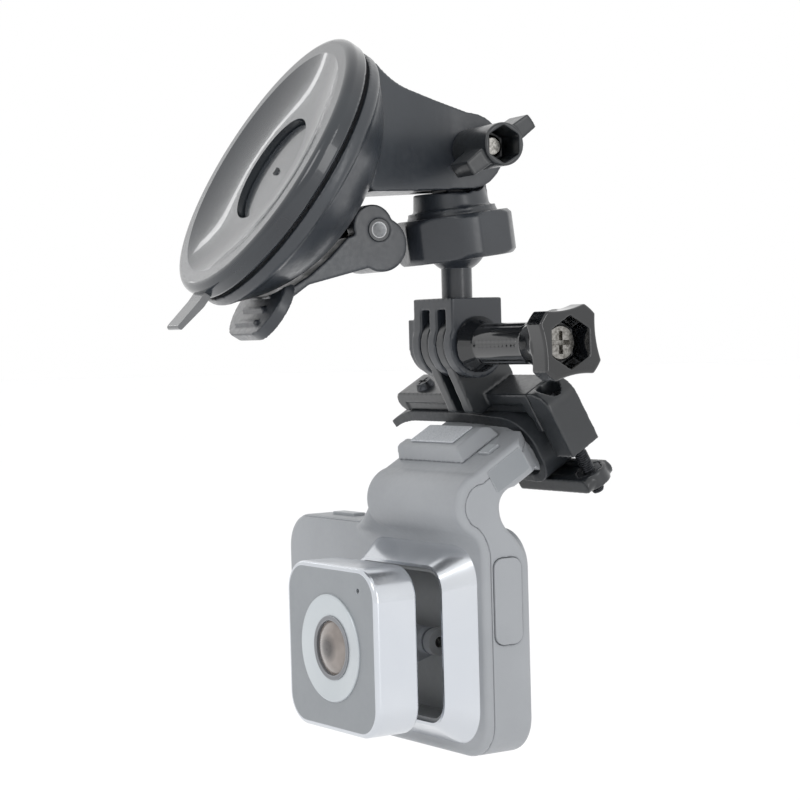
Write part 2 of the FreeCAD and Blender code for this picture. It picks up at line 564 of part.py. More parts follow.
def neck_slab():
    """Neck with its right side drawn in where the clamp holds it."""
    neck = along_x(neck_outline(), NECK_L, BODY_R)
    neck = fillet(neck, 1.2, lambda e: e.BoundBox.XLength < 0.001 and e.BoundBox.ZMin > 17)
    inward = along_z([(BODY_R + 0.1, 31), (SLEEVE_X, 35.8), (SLEEVE_X, 70), (60, 70), (60, 31)], 0, 60)
    top_corner = box(SLEEVE_X - 6.6, 40, 35.2, 70, NECK_TOP - 6.6, 60).cut(
        rod("y", 6.6, 30, 75, (SLEEVE_X - 6.6, NECK_TOP - 6.6)))
    low_corner = box(SLEEVE_X - 4, 40, 35.2, 70, 0, NECK_GRIP_LOW + 4).cut(
        rod("y", 4, 30, 75, (SLEEVE_X - 4, NECK_GRIP_LOW + 4)))
    for tool in (inward, top_corner, low_corner):
        tool.transformShape(CAMERA.inverse().multiply(CLAMP).toMatrix(), True)
        neck = neck.cut(tool)
    return neck


def neck_foot():
    """Flare from the neck's left side down to the body's top and front."""
    neck = [(0.2, 19.5), (-0.5, 22.4), (-2.6, 24.9), (-5.0, 27.6), (-5.7, 30.6), (-4.4, 33.0),
            (-1.0, 34.2), (3.0, 32.8), (5.2, 30.0), (6.0, 26.5), (6.4, 22.0), (3.5, 19.0)]
    body = [(0.2, 19.5), (0.15, 21.5), (0.15, 23.0), (0.3, 23.8), (0.6, 24.3), (1.1, 24.6),
            (1.8, 24.7), (3.4, 24.7), (4.8, 24.6), (5.6, 24.0), (6.0, 21.8), (3.5, 19.0)]
    sections = []
    for x, reach, rise in FLARE:
        points = [V(x, b[0] + reach * (n[0] - b[0]), b[1] + rise * (n[1] - b[1]))
                  for n, b in zip(neck, body)]
        curve = Part.BSplineCurve()
        curve.interpolate(points, PeriodicFlag=True)
        sections.append(Part.Wire(curve.toShape()))
    return Part.makeLoft(sections, True, False)


def housing_hollow():
    """Room inside the body and the neck."""
    inset = Part.Wire(wire(neck_outline(), lambda y, z: V(0, y, z))).makeOffset2D(-WALL)
    neck = Part.Face(inset).extrude(V(BODY_R - NECK_L - 2 * WALL, 0, 0))
    neck.translate(V(NECK_L + WALL, 0, 0))
    narrow = along_z([(12, 31), (60, 31), (60, 70), (12, 70)], 0, 60).fuse(box(-60, 60, 47, 70, 0, 60))
    narrow.transformShape(CAMERA.inverse().multiply(CLAMP).toMatrix(), True)
    return body_slab(WALL).fuse(neck.cut(narrow))


def front_side():
    """Everything in front of the seam between the two shells."""
    return along_x([(-40, -40), (SEAM_Y, -40), (SEAM_Y, 18.5), ((1.6, 22.4), (-0.9, 26.2)),
                    ((-4.2, 31.2), (0.6, 35.8)), neck_point(70, SEAM_Z), neck_point(70, 70),
                    (-40, 60)], -90, 60)


def housing():
    """Both shells together, with every opening cut."""
    shell = body_slab().fuse([neck_slab(), neck_foot()]).cut(housing_hollow())
    cuts = [bezel_block(), along_y(rounded(-RECESS, RECESS, -RECESS, RECESS, 5), -10, 4),
            along_y(rounded(*SCREEN, 2.5), BODY_D - 0.9, BODY_D + 1),
            along_y(rounded(SCREEN[0] + 2, SCREEN[1] - 2, SCREEN[2] + 2, SCREEN[3] - 2, 2),
                    BODY_D - 3, BODY_D + 1),
            along_x(rounded(COVER_Y0, COVER_Y1, COVER_Z0, COVER_Z1, 2.4), BODY_R - 0.95, BODY_R + 1),
            box(BODY_R - 3, BODY_R, 5.0, 7.4, 4, 16),
            box(BUTTON_X0 - 0.2, BUTTON_X1 + 0.2, 4.6, 8.2, BODY_TOP - 2.5, BODY_TOP + 1)]
    for tool in cuts:
        shell = shell.cut(tool)
    port = box(*PORT_X, 40, 60, *PORT_Z)
    latch = box(LATCH_X0 - 0.15, LATCH_X1 + 0.15, LATCH_Y0 - 0.15, LATCH_Y1 + 0.15,
                NECK_TOP - 3, NECK_TOP + 1)
    for tool in (port, latch):
        tool.transformShape(CAMERA.inverse().multiply(CLAMP).toMatrix(), True)
        shell = shell.cut(tool)
    return shell


def front_shell():
    """Front half of the housing."""
    return housing().common(front_side()).removeSplitter()


def rear_shell():
    """Back half of the housing."""
    return housing().cut(front_side()).removeSplitter()


def bezel_block():
    """The bezel before its opening is cut."""
    base = wire(rounded(-BEZEL_OUT, BEZEL_OUT, -BEZEL_OUT, BEZEL_OUT, 8.5),
                lambda x, z: V(x, 0, z))
    front = wire(rounded(-BEZEL_IN, BEZEL_IN, -BEZEL_IN, BEZEL_IN, 5.6),
                 lambda x, z: V(x, BEZEL_FRONT, z))
    return Part.makeLoft([base, front], True, True)


def bezel():
    """Sloping frame around the recess, narrower at its front edge."""
    opening = along_y(rounded(-RECESS, RECESS, -RECESS, RECESS, 5), -10, 4)
    return bezel_block().cut(opening).removeSplitter()


def recess_tray():
    """Tray that closes the recess, with two ears for the tilt axle."""
    r = RECESS
    tray = along_y(rounded(-r, r, -r, r, 5), BEZEL_FRONT + 0.7, RECESS_FLOOR)
    tray = tray.cut(along_y(rounded(-r + 0.9, r - 0.9, -r + 0.9, r - 0.9, 4.1), -10, RECESS_FLOOR - 0.9))
    for x in (-9.6, 7.4):
        ear = along_x([(RECESS_FLOOR - 0.9, -3.4), (AXLE_Y, -3.0), ((AXLE_Y - 3.0, 0), (AXLE_Y, 3.0)),
                       (RECESS_FLOOR - 0.9, 3.4)], x, x + 2.2)
        tray = tray.fuse(ear)
    return tray.cut(rod("x", AXLE_R, -12, 12, (AXLE_Y, 0))).removeSplitter()


def tilt_axle():
    """Steel pin on which the lens module tilts."""
    return rod("x", AXLE_R, -9.6, 9.6, (AXLE_Y, 0))


def module_case():
    """Open-backed square case of the lens module with its tilt stem."""
    m = MODULE
    case = along_y(rounded(-m, m, -m, m, 7), MODULE_FRONT, MODULE_BACK)
    case = fillet(case, 0.9, lambda e: e.BoundBox.YLength < 0.001)
    seat = rounded(-m + 1, m - 1, -m + 1, m - 1, 6)
    room = rounded(-m + 2.2, m - 2.2, -m + 2.2, m - 2.2, 4.8)
    case = case.cut(along_y(seat, MODULE_FRONT - 1, MODULE_FRONT + 1.4))
    case = case.cut(along_y(room, MODULE_FRONT + 1, MODULE_BACK - 1.8))
    stem = along_x([(MODULE_BACK - 0.5, -6.5), (AXLE_Y, -3.0), ((AXLE_Y + 3.0, 0), (AXLE_Y, 3.0)),
                    (MODULE_BACK - 0.5, 6.5)], -7.0, 7.0)
    return case.fuse(stem).cut(rod("x", AXLE_R + FIT, -12, 12, (AXLE_Y, 0))).removeSplitter()


def front_panel():
    """Flat face of the lens module with the lens opening and a microphone hole."""
    m = MODULE - 1.0
    panel = along_y(rounded(-m, m, -m, m, 6), MODULE_FRONT, MODULE_FRONT + 1.4)
    panel = panel.cut(rod("y", LENS_RING_R, MODULE_FRONT - 1, MODULE_FRONT + 0.8))
    panel = panel.cut(rod("y", LENS_BARREL_R, MODULE_FRONT - 1, MODULE_FRONT + 2))
    return panel.cut(rod("y", 0.55, MODULE_FRONT - 1, MODULE_FRONT + 2, (11.6, 13.6))).removeSplitter()


def lens_turned(points):
    """Solid of revolution about the lens axis on (radius, distance behind the front)."""
    solid = turned(points)
    solid.rotate(V(0, 0, 0), X_AXIS, -90)
    solid.translate(V(0, MODULE_FRONT, 0))
    return solid


def lens_ring():
    """Bright ring around the lens, dished towards the barrel."""
    return lens_turned([(LENS_BARREL_R, 0.15), (LENS_RING_R - 0.5, -0.55),
                        ((LENS_RING_R - 0.1, -0.4), (LENS_RING_R, 0)),
                        (LENS_RING_R, 0.8), (LENS_BARREL_R, 0.8)])


def dome(radius, edge, pole):
    """Arc from the axis at pole to radius at edge, on a sphere centred on the axis."""
    sag = edge - pole
    sphere = (radius ** 2 + sag ** 2) / (2 * sag)
    half = math.asin(radius / abs(sphere)) / 2
    return (abs(sphere) * math.sin(half), pole + sphere * (1 - math.cos(half)))


def lens_barrel():
    """Stepped barrel that carries the lens."""
    return lens_turned([(6.1, -0.1), (LENS_BARREL_R, -0.1), (LENS_BARREL_R, 7.8), (3.2, 7.8),
                        (3.2, 5.2), (4.4, 4.6), (4.4, 2.6), (6.1, 2.0)])


def front_lens():
    """Domed front element."""
    return lens_turned([(0, -1.1), (dome(6.1, 0.6, -1.1), (6.1, 0.6)),
                        (6.1, 1.9), (dome(6.1, 1.9, 0.7), (0, 0.7))])


def rear_lens():
    """Second element, deeper in the barrel."""
    return lens_turned([(0, 2.6), (dome(4.4, 3.4, 2.6), (4.4, 3.4)), (4.4, 4.5), (0, 4.5)])


def sensor_board():
    """Board and image sensor behind the barrel."""
    board = box(-13, 13, MODULE_BACK - 3.0, MODULE_BACK - 1.8, -13, 13)
    return board.cut(rod("y", 0.9, -40, 0, (-11, 11))).cut(rod("y", 0.9, -40, 0, (11, -11)))


def image_sensor():
    """Sensor chip in the back of the barrel."""
    return box(-3, 3, MODULE_FRONT + 6.4, MODULE_BACK - 3.0, -2.4, 2.4).common(rod("y", 3.1, -40, 0))


def screen():
    """Display window in the back."""
    return along_y(rounded(SCREEN[0] + 0.1, SCREEN[1] - 0.1, SCREEN[2] + 0.1, SCREEN[3] - 0.1, 2.4),
                   BODY_D - 0.9, BODY_D - 0.1)


def screen_panel():
    """Display module behind the window."""
    return box(SCREEN[0] + 2.8, SCREEN[1] - 2.8, 9.2, BODY_D - 0.9, SCREEN[2] + 2.8, SCREEN[3] - 2.8)


def main_board():
    """Main circuit board across the body."""
    return box(-55, 21, 6.8, 7.8, -20, 20)


def battery():
    """Flat cell in front of the board."""
    return along_y(rounded(-54, -22, -16, 16, 1.5), 2.0, 6.4)


def speaker():
    """Round speaker behind the board."""
    return rod("y", 8.5, 8.0, 11.0, (8, 0))


def card_socket():
    """Metal socket for the memory card, open towards the side cover."""
    return box(8, 21.5, 4.2, 6.8, 3, 17).cut(box(9, 22, 5.0, 6.4, 4, 16))


def power_port():
    """Metal shell of the power inlet in the neck's end."""
    shell = along_y(rounded(PORT_X[0], PORT_X[1], PORT_Z[0], PORT_Z[1], 0.9), 42.5, NECK_END - 0.3)
    inside = rounded(PORT_X[0] + 0.4, PORT_X[1] - 0.4, PORT_Z[0] + 0.4, PORT_Z[1] - 0.4, 0.6)
    shell = shell.cut(along_y(inside, 43.5, 60))
    tongue = box(PORT_X[0] + 1.6, PORT_X[1] - 1.6, 43, NECK_END - 1.4, 26.8, 27.3)
    return shell.fuse(tongue).removeSplitter()


def slot_cover():
    """Cover over the card slot on the right side, hinged at its back edge."""
    cover = along_x(rounded(COVER_Y0 + 0.12, COVER_Y1 - 0.12, COVER_Z0 + 0.12, COVER_Z1 - 0.12, 2.3),
                    BODY_R - 0.9, BODY_R + 0.4)
    return fillet(cover, 0.25, lambda e: e.BoundBox.XLength < 0.001 and e.BoundBox.XMin > BODY_R)


def power_button():
    """Bar key in the top edge, held in by a flange under the wall."""
    key = box(BUTTON_X0, BUTTON_X1, 4.8, 8.0, BODY_TOP - 0.9, BODY_TOP + 0.7)
    flange_top = BODY_TOP - WALL - 0.1
    flange = box(BUTTON_X0 - 1, BUTTON_X1 + 1, 4.2, 8.4, flange_top - 1.0, flange_top)
    stem = box(BUTTON_X0 + 0.5, BUTTON_X1 - 0.5, 5.2, 7.6, flange_top - 0.5, BODY_TOP - 0.5)
    return key.fuse([flange, stem]).removeSplitter()


def mount_shoe():
    """Raised plate on the neck's top with a thumb notch and a ramp at its right end."""
    shoe = along_x([(21.3, NECK_TOP), (22.4, 36.0), ((23.0, 36.6), (24.0, 36.7)), (31.4, 36.7),
                    (33.0, 35.8), (33.0, NECK_TOP)], -10, 15.6)
    ramp = along_y([(15.7, NECK_TOP + 0.4), (15.7, 38), (13.4, 38), (13.4, 36.7)], 20, 35)
    notch = rod("x", 4.2, -12, -7.4, (29.5, 38.4))
    return shoe.cut(notch).cut(ramp).removeSplitter()


def shoe_pad():
    """Sticky pad on the raised plate."""
    return box(-6.4, 10.4, 24.4, 31.0, 36.7, 37.2)


def latch_button():
    """Small sprung catch beside the raised plate."""
    key = box(LATCH_X0, LATCH_X1, LATCH_Y0, LATCH_Y1, NECK_TOP - 2.0, NECK_TOP + 0.5)
    flange_top = NECK_TOP - WALL - 0.1
    flange = box(LATCH_X0, LATCH_X1, LATCH_Y0 - 0.7, LATCH_Y1 + 0.7, flange_top - 0.7, flange_top)
    return key.fuse(flange).removeSplitter()


def label_plate():
    """Blank label on the neck's right side."""
    return along_x(rounded(20.5, 30.8, 26.7, 32.3, 0.5), BODY_R, BODY_R + 0.12)


PARTS = {
    "CUP": (suction_pad, pad_plug, plunger_rod, plunger_spring, lock_lever, lever_pin),
    "ROW": (cup_housing, wing_knob, wing_bolt, arm_nut),
    "SOCKET": (socket_stem, collar_nut, ball_cup),
    "STUD": (ball_stud,),
    "FORK": (prong_block, prong_nut, thumb_knob, thumb_bolt),
    "CLAMP": (clamp_frame, clamp_block, plate_screw, clamp_screw, clamp_liner, lower_jaw, jaw_nut,
              power_port, mount_shoe, shoe_pad, latch_button, label_plate),
    "CAMERA": (front_shell, rear_shell, bezel, recess_tray, tilt_axle, module_case, front_panel,
               lens_ring, lens_barrel, front_lens, rear_lens, sensor_board, image_sensor, screen,
               screen_panel, main_board, battery, speaker, card_socket, slot_cover, power_button),
}
FRAMES = {"CUP": CUP, "ROW": ROW, "SOCKET": SOCKET, "STUD": STUD, "FORK": FORK, "CLAMP": CLAMP,
          "CAMERA": CAMERA}

for name, makers in PARTS.items():
    for maker in makers:
        save(maker.__name__, maker(), FRAMES[name])
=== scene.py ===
"""Looks of the dash camera and its suction bracket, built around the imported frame."""
import math

import bmesh
import bpy
from mathutils import Matrix, Vector


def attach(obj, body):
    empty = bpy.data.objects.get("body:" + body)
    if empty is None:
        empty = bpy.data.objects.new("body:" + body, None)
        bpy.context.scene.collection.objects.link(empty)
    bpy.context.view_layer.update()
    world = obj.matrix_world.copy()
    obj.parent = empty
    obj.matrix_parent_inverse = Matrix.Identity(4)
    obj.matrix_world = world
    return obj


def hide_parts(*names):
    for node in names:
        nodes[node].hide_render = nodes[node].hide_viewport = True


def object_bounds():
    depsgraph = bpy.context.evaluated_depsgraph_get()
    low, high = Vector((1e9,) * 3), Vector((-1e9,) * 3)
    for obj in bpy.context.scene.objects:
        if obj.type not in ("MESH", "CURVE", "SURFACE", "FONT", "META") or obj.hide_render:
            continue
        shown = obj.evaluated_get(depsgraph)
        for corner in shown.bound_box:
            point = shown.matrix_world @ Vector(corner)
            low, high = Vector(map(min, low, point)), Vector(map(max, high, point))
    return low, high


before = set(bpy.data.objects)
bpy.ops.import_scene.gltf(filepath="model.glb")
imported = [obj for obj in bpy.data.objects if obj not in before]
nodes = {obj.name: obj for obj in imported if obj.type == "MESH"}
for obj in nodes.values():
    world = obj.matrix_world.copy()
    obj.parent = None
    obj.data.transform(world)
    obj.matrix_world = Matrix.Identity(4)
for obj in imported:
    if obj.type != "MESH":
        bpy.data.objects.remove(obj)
cad_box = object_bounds()
MM = 0.001

# ---- frames of the model, as the CAD has them ---------------------------------------------
CUP_TILT = 31.5                     # the suction face looks up by this many degrees
CAMERA_YAW = 8.6                    # the camera is turned by this much on the ball
CLAMP_TILT = 30.0
LENS_CENTRE = Vector((-4.18, 37.27, -106.7)) * MM
LENS_FACE = Vector((0, -22.5, 0)) * MM       # in the camera's frame
LEVER_PIN = Vector((0, 0, 29.0)) * MM        # in the cup's frame


def turn(axis, degrees):
    return Matrix.Rotation(math.radians(degrees), 4, axis)


CUP = turn("X", -90 - CUP_TILT)
CAMERA = Matrix.Translation(LENS_CENTRE) @ turn("Z", CAMERA_YAW)
CLAMP = CAMERA @ turn("X", CLAMP_TILT)


# ---- materials ----------------------------------------------------------------------------
MIX_A = 6                           # colour sockets of a mix node, whose names repeat
MIX_B = 7
MIX_RESULT = 2
# painted edge highlight: width of its band, and the cosines where it is full and where it ends
EDGE_HIGHLIGHT_WIDTH = 0.45 * MM
FULL_EDGE_HIGHLIGHT = 0.65                    # cosine between the true normal and the rounded one
NO_EDGE_HIGHLIGHT = 0.98
# radius of the painted bright bore of the lever pin, and where it fades out
BORE_RADIUS = 1.68 * MM
BORE_BLEND = 1.8 * MM
# radius of the painted shade at the lens pupil, and where it fades out
PUPIL_RADIUS = 2.9 * MM
PUPIL_BLEND = 4.0 * MM


def tint(code):
    """Linear colour of a web colour code."""
    parts = [int(code[i:i + 2], 16) / 255 for i in (1, 3, 5)]
    return [c / 12.92 if c <= 0.04045 else ((c + 0.055) / 1.055) ** 2.4 for c in parts] + [1.0]


class Surface:
    """A principled material whose colour, roughness and relief come from noise."""

    def __init__(self, name, **constants):
        self.material = bpy.data.materials.new(name)
        self.material.use_nodes = True
        self.tree = self.material.node_tree
        self.shader = self.tree.nodes["Principled BSDF"]
        for socket, value in constants.items():
            self.shader.inputs[socket.replace("_", " ")].default_value = value
        self.place = self.tree.nodes.new("ShaderNodeTexCoord").outputs["Object"]
        self.relief = None

    def link(self, source, target):
        self.tree.links.new(source, target)

    def noise(self, scale, detail):
        node = self.tree.nodes.new("ShaderNodeTexNoise")
        node.inputs["Scale"].default_value = scale
        node.inputs["Detail"].default_value = detail
        self.link(self.place, node.inputs["Vector"])
        return node.outputs["Fac"]

    def distance(self, point, axes=(1, 1, 1)):
        """Distance from a point, or from a line through it along the axis that is 0."""
        offset = self.tree.nodes.new("ShaderNodeVectorMath")
        offset.operation = "MULTIPLY_ADD"
        offset.inputs[1].default_value = axes
        offset.inputs[2].default_value = -point
        self.link(self.place, offset.inputs[0])
        length = self.tree.nodes.new("ShaderNodeVectorMath")
        length.operation = "LENGTH"
        self.link(offset.outputs["Vector"], length.inputs[0])
        return length.outputs["Value"]

    def spread(self, source, low, high, start=0.35, stop=0.65):
        """Spread of a value between start and stop over the range from low to high."""
        node = self.tree.nodes.new("ShaderNodeMapRange")
        node.inputs["From Min"].default_value = start
        node.inputs["From Max"].default_value = stop
        node.inputs["To Min"].default_value = low
        node.inputs["To Max"].default_value = high
        self.link(source, node.inputs["Value"])
        return node.outputs["Result"]

    def mix(self, factor, first, second):
        """Mix of two colours; each is a colour or a socket."""
        node = self.tree.nodes.new("ShaderNodeMix")
        node.data_type = "RGBA"
        self.link(factor, node.inputs["Factor"])
        for value, socket in ((first, node.inputs[MIX_A]), (second, node.inputs[MIX_B])):
            if isinstance(value, bpy.types.NodeSocket):
                self.link(value, socket)
            else:
                socket.default_value = value
        return node.outputs[MIX_RESULT]

    def colour(self, source):
        self.link(source, self.shader.inputs["Base Color"])
        return self

    def roughness(self, source):
        self.link(source, self.shader.inputs["Roughness"])
        return self

    def bump(self, height, depth):
        node = self.tree.nodes.new("ShaderNodeBump")
        node.inputs["Distance"].default_value = depth
        self.link(height, node.inputs["Height"])
        if self.relief:
            self.link(self.relief, node.inputs["Normal"])
        self.relief = node.outputs["Normal"]
        self.link(self.relief, self.shader.inputs["Normal"])
        return self

    def edges(self, radius):
        """Mask that is 1 along convex and concave edges."""
        bevel = self.tree.nodes.new("ShaderNodeBevel")
        bevel.samples = 4
        bevel.inputs["Radius"].default_value = radius
        geometry = self.tree.nodes.new("ShaderNodeNewGeometry")
        dot = self.tree.nodes.new("ShaderNodeVectorMath")
        dot.operation = "DOT_PRODUCT"
        self.link(bevel.outputs["Normal"], dot.inputs[0])
        self.link(geometry.outputs["Normal"], dot.inputs[1])
        return self.spread(dot.outputs["Value"], 1.0, 0.0, FULL_EDGE_HIGHLIGHT, NO_EDGE_HIGHLIGHT)


def moulded(name, shade, deep, highlight_tint, rough=(0.34, 0.46), grain=0.000012, **constants):
    """Injection-moulded plastic: cloudy colour, fine spark-eroded grain and a painted highlight that
    makes the edges paler.
    """
    surface = Surface(name, **constants)
    clouds = surface.spread(surface.noise(45, 4), 0, 1)
    base = surface.mix(clouds, tint(deep), tint(shade))
    # painted highlight: convex and concave edges are mixed towards the pale tint, broken up by noise
    painted_edge_highlight = surface.tree.nodes.new("ShaderNodeMath")
    painted_edge_highlight.operation = "MULTIPLY"
    surface.link(surface.edges(EDGE_HIGHLIGHT_WIDTH), painted_edge_highlight.inputs[0])
    surface.link(surface.spread(surface.noise(420, 2), 0.25, 0.9), painted_edge_highlight.inputs[1])
    surface.colour(surface.mix(painted_edge_highlight.outputs[0], base, tint(highlight_tint)))
    surface.roughness(surface.spread(surface.noise(900, 2), *rough))
    return surface.bump(surface.noise(3800, 2), grain).material


def glossy(name, shade, deep, rough=(0.06, 0.13), ripple=0.00006, **constants):
    """Smooth glossy plastic or rubber with a slow ripple and faint smears."""
    surface = Surface(name, **constants)
    surface.colour(surface.mix(surface.spread(surface.noise(60, 3), 0, 1), tint(deep), tint(shade)))
    surface.roughness(surface.spread(surface.noise(180, 4), *rough))
    if ripple:
        surface.bump(surface.noise(70, 2), ripple)
    return surface.bump(surface.noise(2400, 2), 0.000002).material


def metal(name, shade, deep, rough, **constants):
    """Metal with a fine grain."""
    surface = Surface(name, **constants)
    grain = surface.noise(1500, 3)
    surface.colour(surface.mix(surface.spread(grain, 0, 1), tint(deep), tint(shade)))
    surface.roughness(surface.spread(surface.noise(700, 3), *rough))
    return surface.bump(grain, 0.000004).material


def satin(name, shade, deep, rough, **constants):
    """Smooth painted or anodised metal with slow clouds and almost no grain."""
    surface = Surface(name, **constants)
    surface.colour(surface.mix(surface.spread(surface.noise(30, 2), 0, 1), tint(deep), tint(shade)))
    surface.roughness(surface.spread(surface.noise(120, 3), *rough))
    return surface.bump(surface.noise(3000, 2), 0.0000015).material


def circuit():
    """Green solder mask with a faint pattern of tracks."""
    surface = Surface("solder_mask", Coat_Weight=0.3)
    tracks = surface.tree.nodes.new("ShaderNodeTexBrick")
    tracks.inputs["Scale"].default_value = 320
    tracks.inputs["Mortar Size"].default_value = 0.03
    surface.link(surface.place, tracks.inputs["Vector"])
    surface.colour(surface.mix(tracks.outputs["Fac"], tint("#1f6b45"), tint("#0f4a2c")))
    surface.roughness(surface.spread(surface.noise(500, 2), 0.3, 0.45))
    return surface.bump(surface.noise(1800, 2), 0.00001).material


def pin_with_painted_bore_light():
    """Dark pin whose bore is painted near-white: painted light standing in for the bright backdrop
    seen through an open hole.
    """
    surface = Surface("pin_painted_bore_light", Coat_Weight=0.2)
    from_axis = surface.distance(CUP @ LEVER_PIN, axes=(0, 1, 1))
    painted_shading_mask = surface.spread(from_axis, 1.0, 0.0, BORE_RADIUS, BORE_BLEND)
    # painted light: near-white colour inside the bore
    grain = surface.mix(surface.noise(500, 2), tint("#f4f5f6"), tint("#dcdee0"))
    surface.colour(surface.mix(painted_shading_mask, tint("#2c2f33"), grain))
    surface.roughness(surface.spread(surface.noise(700, 2), 0.25, 0.4))
    return surface.bump(surface.noise(1500, 2), 0.000004).material


def foam():
    """Pale closed-cell foam of the sticky pad."""
    surface = Surface("foam_pad", Specular_IOR_Level=0.25)
    cells = surface.tree.nodes.new("ShaderNodeTexVoronoi")
    cells.inputs["Scale"].default_value = 2200
    surface.link(surface.place, cells.inputs["Vector"])
    surface.colour(surface.mix(cells.outputs["Distance"], tint("#c9ccd0"), tint("#aeb2b7")))
    surface.roughness(surface.spread(surface.noise(900, 2), 0.75, 0.9))
    return surface.bump(cells.outputs["Distance"], 0.00004).material


def lens_glass(name, shade, deep, pupil_shade):
    """Coated glass with faint clouds over its face, darkened at the pupil by painted shade."""
    surface = Surface(name, Transmission_Weight=0.25, IOR=1.5, Coat_Weight=0.5, Coat_Roughness=0.02)
    clouds = surface.mix(surface.spread(surface.noise(220, 2), 0, 1), tint(deep), tint(shade))
    from_pupil = surface.distance(CAMERA @ LENS_FACE)
    painted_shading_mask = surface.spread(from_pupil, 1.0, 0.0, PUPIL_RADIUS, PUPIL_BLEND)
    # painted shade: the pupil is mixed towards a dark colour
    surface.colour(surface.mix(painted_shading_mask, clouds, tint(pupil_shade)))
    surface.roughness(surface.spread(surface.noise(900, 2), 0.01, 0.05))
    return surface.bump(surface.noise(500, 1), 0.000001).material


def make_materials():
    return {
        # the third colour of each moulded finish is the tint of its painted edge highlight
        "bracket": moulded("bracket_plastic", "#2f343a", "#262a30", "#555b63", (0.3, 0.4),
                           Coat_Weight=0.35, Coat_Roughness=0.22),
        "bracket_dark": moulded("bracket_plastic_dark", "#1f2327", "#171a1d", "#444a51", (0.28, 0.38),
                                Coat_Weight=0.4, Coat_Roughness=0.2),
        "knob": glossy("knob_plastic", "#15171a", "#0d0f11", Coat_Weight=0.6, Coat_Roughness=0.05),
        "pad": glossy("pad_rubber", "#2a2f34", "#20242a", (0.16, 0.24), Coat_Weight=0.55,
                      Coat_Roughness=0.03, Specular_IOR_Level=0.4),
        "pin": pin_with_painted_bore_light(),
        "liner": moulded("liner_rubber", "#2b2f33", "#222529", "#4a4f54", (0.38, 0.5), 0.00002),
        "body": moulded("body_plastic", "#9a9da1", "#94979b", "#b4b7bb", (0.4, 0.52), 0.000005,
                        Coat_Weight=0.1, Coat_Roughness=0.3),
        "panel": moulded("panel_plastic", "#8d9195", "#868a8e", "#a9adb1", (0.34, 0.44), 0.000003),
        "recess": moulded("recess_plastic", "#8f9194", "#868889", "#a6a8ab", (0.45, 0.6), 0.000006),
        "barrel": moulded("barrel_plastic", "#7d7f83", "#707276", "#aeb1b5", (0.3, 0.42), 0.000004),
        "silver": satin("silver_trim", "#d6d9dd", "#cbcfd5", (0.18, 0.26), Metallic=0.85),
        "ring": satin("ring_silver", "#ccd1d4", "#bdc3c7", (0.3, 0.4), Metallic=0.5),
        "steel": metal("bright_steel", "#a3a19d", "#6f6d69", (0.16, 0.3), Metallic=1.0),
        "black_steel": metal("black_steel", "#4a4c50", "#2e3033", (0.25, 0.4), Metallic=0.8),
        # the last colour of each lens glass is its painted pupil shade
        "front_glass": lens_glass("lens_glass", "#a39a94", "#8f8680", "#4b4644"),
        "rear_glass": lens_glass("rear_lens_glass", "#8f8782", "#7d7570", "#3d3937"),
        "window": glossy("screen_glass", "#17181b", "#0f1012", (0.03, 0.08), 0.0, Coat_Weight=0.6,
                         Coat_Roughness=0.02),
        "display": glossy("screen_back", "#26282b", "#1d1f21", (0.25, 0.4), 0.0),
        "board": circuit(),
        "chip": glossy("sensor_chip", "#4d5866", "#3b4450", (0.08, 0.15), 0.0),
        "wrap": glossy("battery_wrap", "#9ea3a8", "#8f9499", (0.3, 0.45), 0.00002),
        "speaker": moulded("speaker_plastic", "#2c2e31", "#232528", "#55585c"),
        "foam": foam(),
        "key": moulded("key_plastic", "#a9adb0", "#a0a4a8", "#c2c5c8", (0.34, 0.46), 0.000004),
        "label": moulded("label_film", "#8b8f93", "#83878b", "#b3b6b9", (0.35, 0.45), 0.000003),
    }


MATERIALS = make_materials()
FINISH = {
    "bracket": ["cup_housing", "lock_lever", "socket_stem", "collar_nut", "ball_stud", "prong_block",
                "ball_cup"],
    "pin": ["lever_pin"],
    "bracket_dark": ["clamp_frame", "clamp_block", "lower_jaw", "wing_knob"],
    "pad": ["suction_pad", "pad_plug"], "knob": ["thumb_knob"], "liner": ["clamp_liner"],
    "body": ["front_shell", "rear_shell", "mount_shoe", "slot_cover"],
    "panel": ["front_panel"], "recess": ["recess_tray"], "barrel": ["lens_barrel"],
    "silver": ["bezel", "module_case"], "ring": ["lens_ring"],
    "steel": ["plunger_rod", "plunger_spring", "wing_bolt", "arm_nut", "prong_nut", "thumb_bolt",
              "tilt_axle", "power_port", "card_socket"],
    "black_steel": ["plate_screw", "clamp_screw", "jaw_nut"],
    "front_glass": ["front_lens"], "rear_glass": ["rear_lens"], "window": ["screen"],
    "display": ["screen_panel"], "board": ["main_board", "sensor_board"], "chip": ["image_sensor"],
    "wrap": ["battery"], "speaker": ["speaker"], "foam": ["shoe_pad"],
    "key": ["power_button", "latch_button"], "label": ["label_plate"],
}


def finish(obj, material):
    obj.data.materials.clear()
    obj.data.materials.append(MATERIALS[material])
    return obj


for material, names in FINISH.items():
    for name in names:
        finish(nodes[name], material)


# ---- edges of the CAD nodes ---------------------------------------------------------------
WELD_DISTANCE = 0.002 * MM
FLAT_ANGLE = math.radians(0.4)
SHARP_ANGLE = math.radians(32.0)
BEVEL_SEGMENTS = 3


def join_facets(obj):
    """Drop the normals that came with the facets and weld their doubled points."""
    attributes = obj.data.attributes
    for layer in ("custom_normal", "sharp_edge", "sharp_face"):
        if layer in attributes:
            attributes.remove(attributes[layer])
    weld = obj.modifiers.new("weld", "WELD")
    weld.merge_threshold = WELD_DISTANCE


